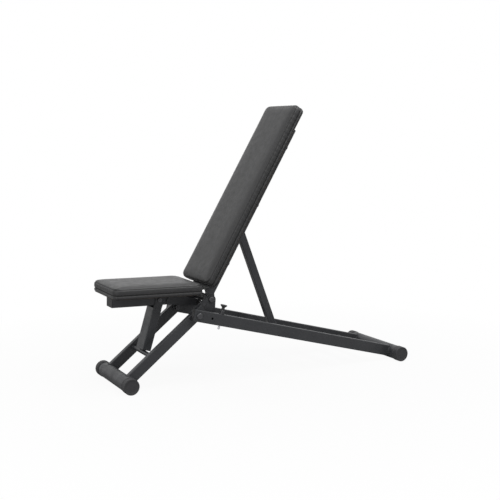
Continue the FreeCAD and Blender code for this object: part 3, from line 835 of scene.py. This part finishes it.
    def staples(self, finishes: "Finishes") -> None:
        """Staples that hold the folded vinyl: bridges 10 mm wide, along a line inside its edge."""
        outline, outward = rounded_outline(*(self.size[:2] - 2 * self.fold_width * 0.62),
                                           10 * MM, 2 * MM)
        step = max(1, int(self.staple_pitch / (2 * MM)))
        flat = np.abs(outward).max(1) > 0.999
        chosen = np.flatnonzero(flat)[::step]
        across = np.array([-5.0, -5.0, -4.4, 0.0, 4.4, 5.0, 5.0]) * MM
        height = np.array([0.4, -1.1, -1.7, -1.75, -1.7, -1.1, 0.4]) * MM
        radius = np.array([0.0, 0.5, 0.5, 0.5, 0.5, 0.5, 0.0]) * MM
        parts = []
        for i in chosen:
            along = np.array([-outward[i, 1], outward[i, 0]])
            line = np.column_stack([outline[i] + across[:, None] * along, height])
            normal = np.repeat([[outward[i, 0], outward[i, 1], 0.0]], len(line), 0)
            parts.append(sweep(line, normal, radius, 6, False))
        points, quads = joined(parts)
        add_piece(self.name + "_staples", mesh_from(self.name + "_staples", self.place(points), quads),
                  finishes[Finish.BARE_STEEL], self.body)


# ---- feet and knob ------------------------------------------------------------------------
def turned(radius: np.ndarray, along: np.ndarray, centre: np.ndarray, axis: np.ndarray,
           first: np.ndarray, sides: int, flute: np.ndarray | float = 0.0,
           flutes: int = 1) -> tuple[np.ndarray, np.ndarray]:
    """Surface of revolution, with flutes where they are asked for.

    The point at angle a on row i is centre + along_i axis + r (cos(a) first + sin(a) second),
    with r = radius_i - flute_i (0.5 - 0.5 cos(flutes a)).

    Args:
        radius: radius of each row.
        along: place of each row along the axis.
        centre: point on the axis.
        axis: unit direction of the axis.
        first: unit direction square to the axis.
        sides: points in a row.
        flute: depth of the flutes on each row.
        flutes: how many flutes there are.

    Returns:
        Points and quads.
    """
    angle = np.linspace(0.0, 2 * math.pi, sides, endpoint=False)
    dip = np.broadcast_to(flute, radius.shape)[:, None] * (0.5 - 0.5 * np.cos(flutes * angle))
    reach = np.maximum(radius[:, None] - dip, 0.0)
    second = np.cross(axis, first)
    points = (centre + along[:, None, None] * axis
              + reach[..., None] * (np.cos(angle)[:, None] * first + np.sin(angle)[:, None] * second))
    return points.reshape(-1, 3), grid_faces(len(radius), sides, False, True)


@dataclass
class FootCap:
    """Rubber cap over the end of a round foot: a grooved collar and a dished outer face."""

    foot: str
    side: Side
    body: Body
    wall: float = 1.9 * MM
    edge: float = 2.2 * MM
    grooves: tuple[float, ...] = (5.0 * MM, 8.5 * MM)
    groove_depth: float = 0.9 * MM
    groove_width: float = 0.9 * MM
    dish_edge: float = 4.0 * MM
    dish_depth: float = 0.7 * MM

    def build(self, finishes: Finishes) -> None:
        """Makes the cap, flattened where it stands on the floor.

        The collar's radius is R less depth exp(-((y - groove) / width)^2) at each groove. Its
        outer edge is a quarter circle, and the outer face falls by a dish inside a flat rim.

        Args:
            finishes: the bench's materials.
        """
        node = f"{self.foot}_cap_{self.side.name.lower()}"
        low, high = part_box(node)
        tube = points_of(self.foot + "_tube")
        axis = self.side.value * ACROSS
        radius = (high.x - low.x) / 2
        depth = high.y - low.y
        centre = np.array([(low.x + high.x) / 2, high.y if axis[1] < 0 else low.y,
                           middle_of(self.foot + "_tube")[2]])
        bore = radius - self.wall
        tube_end = (tube @ axis).max() - centre @ axis
        collar = np.linspace(0.6 * MM, depth - self.edge, 48)
        cut = sum(np.exp(-((collar - at) / self.groove_width) ** 2) for at in self.grooves)
        quarter = np.linspace(0.0, math.pi / 2, 7)[1:]
        rim = radius - self.edge
        face = np.array([self.dish_edge - self.edge, self.dish_edge - self.edge + 1.2 * MM, 12 * MM, rim])
        sink = np.array([0.0, self.dish_depth, self.dish_depth * 0.8, self.dish_depth * 0.4])
        along = np.concatenate([[tube_end, tube_end, 0.4 * MM, 0.0, 0.0], collar,
                                depth - self.edge * (1 - np.sin(quarter)), depth - sink])
        reach = np.concatenate([[0.0, bore, bore, bore + 0.3 * MM, radius - 0.6 * MM],
                                radius - self.groove_depth * cut,
                                rim + self.edge * np.cos(quarter), rim - face])
        points, quads = turned(reach, along, centre, axis, np.array([0.0, 0.0, 1.0]), 96)
        points[:, 2] = np.maximum(points[:, 2], low.z)
        cap = add_piece(node + "_turned", mesh_from(node, points, quads), finishes[Finish.RUBBER],
                        self.body)
        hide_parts(node)


@dataclass
class Knob:
    """Mushroom knob of the lock pin: a collar, a flared neck and a fluted rim with a low crown."""

    collar: float = 6.5 * MM
    neck: float = 5.6 * MM
    crown: float = 1.6 * MM
    flute: float = 0.9 * MM
    flutes: int = 14

    def build(self, finishes: Finishes) -> None:
        """Makes the knob on the pin's own axis.

        Args:
            finishes: the bench's materials.
        """
        axis = np.array(next(j["axis"] for j in frame["joints"] if j["name"] == "lock_pin_pull"))
        axis = unit(axis)
        knob = points_of("lock_pin_knob")
        centre = middle_of("lock_pin")
        place = (knob - centre) @ axis
        base, top = place.min(), place.max()
        radius = np.linalg.norm(knob - centre - place[:, None] * axis, axis=1).max()
        share = np.array([0, 0, .03, .3, .34, .38, .46, .54, .64, .74, .78, .86, .93, .97, .99, 1])
        height = base + (top - base - self.crown * 0.2) * share
        reach = np.array([0, self.collar - 0.4 * MM, self.collar, self.collar, self.collar - 0.5 * MM,
                          self.neck, self.neck + 0.3 * MM, 7.2 * MM, 10 * MM, radius - 0.8 * MM, radius,
                          radius, radius - 0.5 * MM, radius - 2 * MM, 6 * MM, 0])
        flute = self.flute * np.clip((share - 0.6) / 0.15, 0, 1) * np.clip((1.0 - share) / 0.05, 0, 1)
        points, quads = turned(reach, height, centre, axis, ACROSS, 112, flute, self.flutes)
        piece = add_piece("lock_pin_knob_fluted", mesh_from("knob", points, quads),
                          finishes[Finish.PLASTIC], Body.LOCK_PIN)
        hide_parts("lock_pin_knob")


# ---- welds --------------------------------------------------------------------------------
@dataclass
class Welds:
    """Painted weld beads of one body, gathered into one piece."""

    name: str
    body: Body
    bead: float = 2.3 * MM
    ripple: float = 0.16
    pitch: float = 3.2 * MM
    sides: int = 8
    parts: list[tuple[np.ndarray, np.ndarray]] = field(default_factory=list)

    def run(self, path: np.ndarray, normals: np.ndarray, closed: bool = True,
            size: float = 1.0) -> None:
        """Adds a bead along a line.

        Its radius at the distance s is size * bead * (1 + ripple sin(2 pi s / pitch) + a slow
        wander of 0.08 sin(0.7 i)), and an open bead tapers over its last points.

        Args:
            path: points of the line.
            normals: direction that stands off the joint at each point.
            closed: whether the line is a loop.
            size: thickness of this bead, as a share of the usual one.
        """
        steps = np.linalg.norm(np.diff(path, axis=0), axis=1)
        s = np.concatenate([[0.0], np.cumsum(steps)])
        radius = size * self.bead * (1 + self.ripple * np.sin(2 * math.pi * s / self.pitch)
                                     + 0.08 * np.sin(0.7 * np.arange(len(path))))
        if not closed:
            place = np.linspace(-1.0, 1.0, len(path))
            radius = radius * np.sqrt(np.clip(1 - place ** 8, 0.0, 1.0))
        self.parts.append(sweep(path, normals, radius, self.sides, closed))

    def tube_on_foot(self, tube: str, foot: str, towards: np.ndarray) -> None:
        """Bead round a rectangular tube where it is coped over a round foot.

        A point of the tube's outline at w across it and v along Y lies on the foot's surface,
        at sqrt(R^2 - w^2) from the foot's axis along the tube.

        Args:
            tube: CAD node of the rectangular tube.
            foot: CAD node of the round tube.
            towards: unit direction from the foot along the rectangular tube.
        """
        axis, solid = middle_of(foot), points_of(tube)
        round_radius = (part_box(foot)[1].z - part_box(foot)[0].z) / 2
        across = np.cross(ACROSS, towards)
        w = (solid - axis) @ across
        outline, outward = rounded_outline(w.max() - w.min(), np.ptp(solid[:, 1]), 3 * MM, 1 * MM)
        outline = outline + outward * 0.4 * MM
        rise = np.sqrt(round_radius ** 2 - outline[:, 0] ** 2) + 0.3 * MM
        middle = axis + (w.max() + w.min()) / 2 * across
        middle[1] = middle_of(tube)[1]
        path = middle + rise[:, None] * towards + outline[:, :1] * across + outline[:, 1:] * ACROSS
        normals = outward[:, :1] * across + outward[:, 1:] * ACROSS + 0.6 * towards
        self.run(path, normals)

    def rod_in_walls(self, node: str, walls: float, gap: float = 12 * MM) -> None:
        """Rings round each cross rod of a node, where it meets the walls on both sides.

        Args:
            node: CAD node whose rods run along Y.
            walls: distance of the walls from the mid-plane.
            gap: two points further apart than this along X are on different rods.
        """
        solid = points_of(node)
        solid = solid[np.argsort(solid[:, 0])]
        for rod in np.split(solid, np.flatnonzero(np.diff(solid[:, 0]) > gap) + 1):
            low, high = rod.min(0), rod.max(0)
            middle, radius = (low + high) / 2, (high[0] - low[0]) / 2 + 0.5 * MM
            angle = np.linspace(0.0, 2 * math.pi, int(2 * math.pi * radius / (1 * MM)), endpoint=False)
            out = np.column_stack([np.cos(angle), angle * 0.0, np.sin(angle)])
            for side in Side:
                path = middle * [1, 0, 1] + radius * out + side.value * (walls - 0.6 * MM) * ACROSS
                self.run(path, out - 0.8 * side.value * ACROSS, size=0.8)

    def bars_in_walls(self, node: str, along: np.ndarray, walls: float, gap: float = 20 * MM) -> None:
        """Rectangular beads round each cross tube of a node, at the walls on both sides.

        Args:
            node: CAD node whose rectangular tubes run along Y.
            along: unit direction from tube to tube.
            walls: distance of the walls from the mid-plane.
            gap: two points further apart than this along that direction are on different tubes.
        """
        solid = points_of(node)
        across = np.cross(ACROSS, along)
        solid = solid[np.argsort(solid @ along)]
        for part in np.split(solid, np.flatnonzero(np.diff(solid @ along) > gap) + 1):
            u, w = part @ along, part @ across
            outline, outward = rounded_outline(np.ptp(u), np.ptp(w), 3 * MM, 1 * MM)
            outline = outline + outward * 0.4 * MM + [(u.max() + u.min()) / 2, (w.max() + w.min()) / 2]
            for side in Side:
                path = (outline[:, :1] * along + outline[:, 1:] * across
                        + side.value * (walls - 0.6 * MM) * ACROSS)
                normals = outward[:, :1] * along + outward[:, 1:] * across - side.value * ACROSS
                self.run(path, normals, size=0.85)

    def line(self, start: np.ndarray, end: np.ndarray, normal: np.ndarray) -> None:
        """Straight bead between two points."""
        count = max(6, int(np.linalg.norm(end - start) / (1 * MM)))
        path = start + np.linspace(0.0, 1.0, count)[:, None] * (end - start)
        self.run(path, np.repeat(normal[None], count, 0), closed=False)

    def build(self, finishes: Finishes) -> None:
        """Makes the piece from its beads."""
        points, quads = joined(self.parts)
        add_piece(self.name, mesh_from(self.name, points, quads), finishes[Finish.WELD], self.body)


class Frame:
    """Welded steel of the bench: beads on the rear frame, the leg frame and the backrest."""

    def __init__(self) -> None:
        """Works out the directions of the rails and legs from the feet and the fold pivot."""
        fold = joint_at("frame_fold")
        self.leg_along = unit(fold - middle_of("front_foot_tube") * [1, 0, 1])
        self.rail_along = unit(fold - middle_of("rear_foot_tube") * [1, 0, 1])
        self.back_along = np.cross(ACROSS, mount_axis("backrest_front"))

    def rear(self) -> Welds:
        """Beads of the rear frame."""
        welds = Welds("rear_frame_welds", Body.REAR_FRAME)
        for rail in ("rail_left", "rail_right"):
            welds.tube_on_foot(rail, "rear_foot_tube", self.rail_along)
        welds.rod_in_walls("backrest_rungs", -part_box("rail_left")[1].y)
        return welds

    def legs(self) -> Welds:
        """Beads of the leg frame, with one along the top of each leg at its hinge plate."""
        welds = Welds("leg_frame_welds", Body.LEG_FRAME)
        above = np.cross(self.leg_along, ACROSS)
        for side in Side:
            leg, plate = f"leg_{side.name.lower()}", f"hinge_plate_{side.name.lower()}"
            welds.tube_on_foot(leg, "front_foot_tube", self.leg_along)
            solid, leg_points = points_of(plate), points_of(leg)
            top = (leg_points @ above).max()
            edge = solid[np.abs(solid @ above - top) < 6 * MM] @ self.leg_along
            wall = side.value * (np.abs(leg_points[:, 1]).min() - 0.5 * MM) * ACROSS
            start, end = (at * self.leg_along + (top - 0.3 * MM) * above + wall
                          for at in (edge.min(), edge.max()))
            welds.line(start, end, above)
        welds.rod_in_walls("seat_rung", np.abs(points_of("leg_left")[:, 1]).min())
        return welds

    def back(self) -> Welds:
        """Beads of the backrest's frame."""
        welds = Welds("backrest_welds", Body.BACKREST)
        inner = np.abs(points_of("backrest_tube_left")[:, 1]).min()
        welds.bars_in_walls("backrest_cross_tubes", self.back_along, inner)
        return welds

    def build(self, finishes: Finishes) -> None:
        """Makes every weld piece."""
        for welds in (self.rear(), self.legs(), self.back()):
            welds.build(finishes)


# ---- studio -------------------------------------------------------------------------------
@dataclass(frozen=True)
class Softbox:
    """Rectangular studio light that points at a spot on the bench."""

    name: str
    at: tuple[float, float, float]
    size: tuple[float, float]
    watts: float
    aim: tuple[float, float, float] = (0.0, 0.0, 0.4)

    def build(self) -> None:
        """Makes the light."""
        lamp = bpy.data.lights.new(self.name, "AREA")
        lamp.shape = "RECTANGLE"
        lamp.size, lamp.size_y = self.size
        lamp.energy = self.watts
        light = bpy.data.objects.new(self.name, lamp)
        light.location = self.at
        aim = Vector(self.aim) - Vector(self.at)
        light.rotation_euler = aim.to_track_quat("-Z", "Y").to_euler()
        bpy.context.scene.collection.objects.link(light)


@dataclass(frozen=True)
class Studio:
    """Camera, soft lights, white surroundings and a pale floor."""

    camera_at: tuple[float, float, float] = (-1.72915, -3.32458, 0.94863)
    heading: float = 0.4761          # camera's turn from +Y towards +X, radians
    dip: float = 0.1245              # camera's tilt below the horizon, radians
    lens: float = 68.21
    ambient: float = 0.36
    floor_reach: float = 1.6
    lights: tuple[Softbox, ...] = (
        Softbox("overhead", (0.3, -0.5, 3.2), (2.2, 1.8), 66.0),
        Softbox("front_left", (-2.8, -1.2, 1.3), (1.4, 1.4), 26.0),
        Softbox("side", (0.9, -2.4, 3.0), (1.2, 1.0), 42.0),
    )

    def camera(self) -> None:
        """Makes the camera and the render's colour settings."""
        lens = bpy.data.cameras.new("camera")
        lens.lens, lens.sensor_width = self.lens, 36.0
        camera = bpy.data.objects.new("camera", lens)
        camera.location = self.camera_at
        camera.rotation_euler = (math.pi / 2 - self.dip, 0.0, -self.heading)
        scene = bpy.context.scene
        scene.collection.objects.link(camera)
        scene.camera = camera
        scene.view_settings.view_transform = "Standard"

    def surroundings(self) -> None:
        """Lights the world evenly, and shows it as plain white behind the bench."""
        world = bpy.data.worlds.new("studio")
        bpy.context.scene.world = world
        world.use_nodes = True
        tree = world.node_tree
        tree.nodes.clear()
        rays = tree.nodes.new("ShaderNodeLightPath").outputs
        seen = rays["Is Camera Ray"]
        for kind in ("Is Glossy Ray", "Is Transmission Ray"):
            either = tree.nodes.new("ShaderNodeMath")
            either.operation = "MAXIMUM"
            tree.links.new(seen, either.inputs[0])
            tree.links.new(rays[kind], either.inputs[1])
            seen = either.outputs[0]
        mix = tree.nodes.new("ShaderNodeMixShader")
        tree.links.new(seen, mix.inputs[0])
        for slot, strength in ((1, self.ambient), (2, 1.0)):
            shade = tree.nodes.new("ShaderNodeBackground")
            shade.inputs["Color"].default_value = (1.0, 1.0, 1.0, 1.0)
            shade.inputs["Strength"].default_value = strength
            tree.links.new(shade.outputs[0], mix.inputs[slot])
        out = tree.nodes.new("ShaderNodeOutputWorld")
        tree.links.new(mix.outputs[0], out.inputs["Surface"])

    def floor(self) -> None:
        """Lays a pale floor that keeps the bench's shadow and fades to white away from it."""
        corners = np.array([[-1, -1], [1, -1], [1, 1], [-1, 1]]) * 30.0
        mesh = bpy.data.meshes.new("floor")
        mesh.from_pydata(np.column_stack([corners, np.zeros(4)]).tolist(), [], [(0, 1, 2, 3)])
        floor = bpy.data.objects.new("floor", mesh)
        bpy.context.scene.collection.objects.link(floor)
        nodes = NodeTree("floor_paper")
        nodes.put(nodes.shader, "Base Color", (0.5, 0.5, 0.5, 1.0))
        nodes.put(nodes.shader, "Roughness", 0.9)
        nodes.put(nodes.shader, "Specular IOR Level", 0.0)
        far = nodes.add("ShaderNodeVectorMath", {0: nodes.place}, operation="LENGTH")
        fade = nodes.between(far.outputs["Value"], 0.3, self.floor_reach, 0.93, 1.0)
        camera = nodes.add("ShaderNodeLightPath").outputs["Is Camera Ray"]
        share = nodes.add("ShaderNodeMath", {0: fade, 1: camera}, operation="MULTIPLY").outputs[0]
        white = nodes.add("ShaderNodeEmission", {"Color": (1.0, 1.0, 1.0, 1.0), "Strength": 1.0})
        mix = nodes.add("ShaderNodeMixShader", {0: share, 1: nodes.shader.outputs[0],
                                                2: white.outputs[0]})
        out = nodes.tree.nodes["Material Output"]
        nodes.tree.links.new(mix.outputs[0], out.inputs["Surface"])
        mesh.materials.append(nodes.material)

    def build(self) -> None:
        """Sets the studio up."""
        self.camera()
        self.surroundings()
        self.floor()
        for light in self.lights:
            light.build()


def main() -> None:
    """Builds the studio and the bench, one sub-assembly after another."""
    logging.basicConfig(level=logging.INFO, format="%(name)s: %(message)s")
    Studio().build()
    finishes = Finishes()
    finishes.dress_cad_nodes()
    for foot, body in (("front_foot", Body.LEG_FRAME), ("rear_foot", Body.REAR_FRAME)):
        for side in Side:
            FootCap(foot, side, body).build(finishes)
    Knob().build(finishes)
    Frame().build(finishes)
    Pad("seat_cushion", "seat_pad", Body.SEAT, "seat_top", rear_swell=8 * MM).build(finishes)
    Pad("backrest_cushion", "backrest_pad", Body.BACKREST, "backrest_front").build(finishes)


if __name__ == "__main__":
    main()
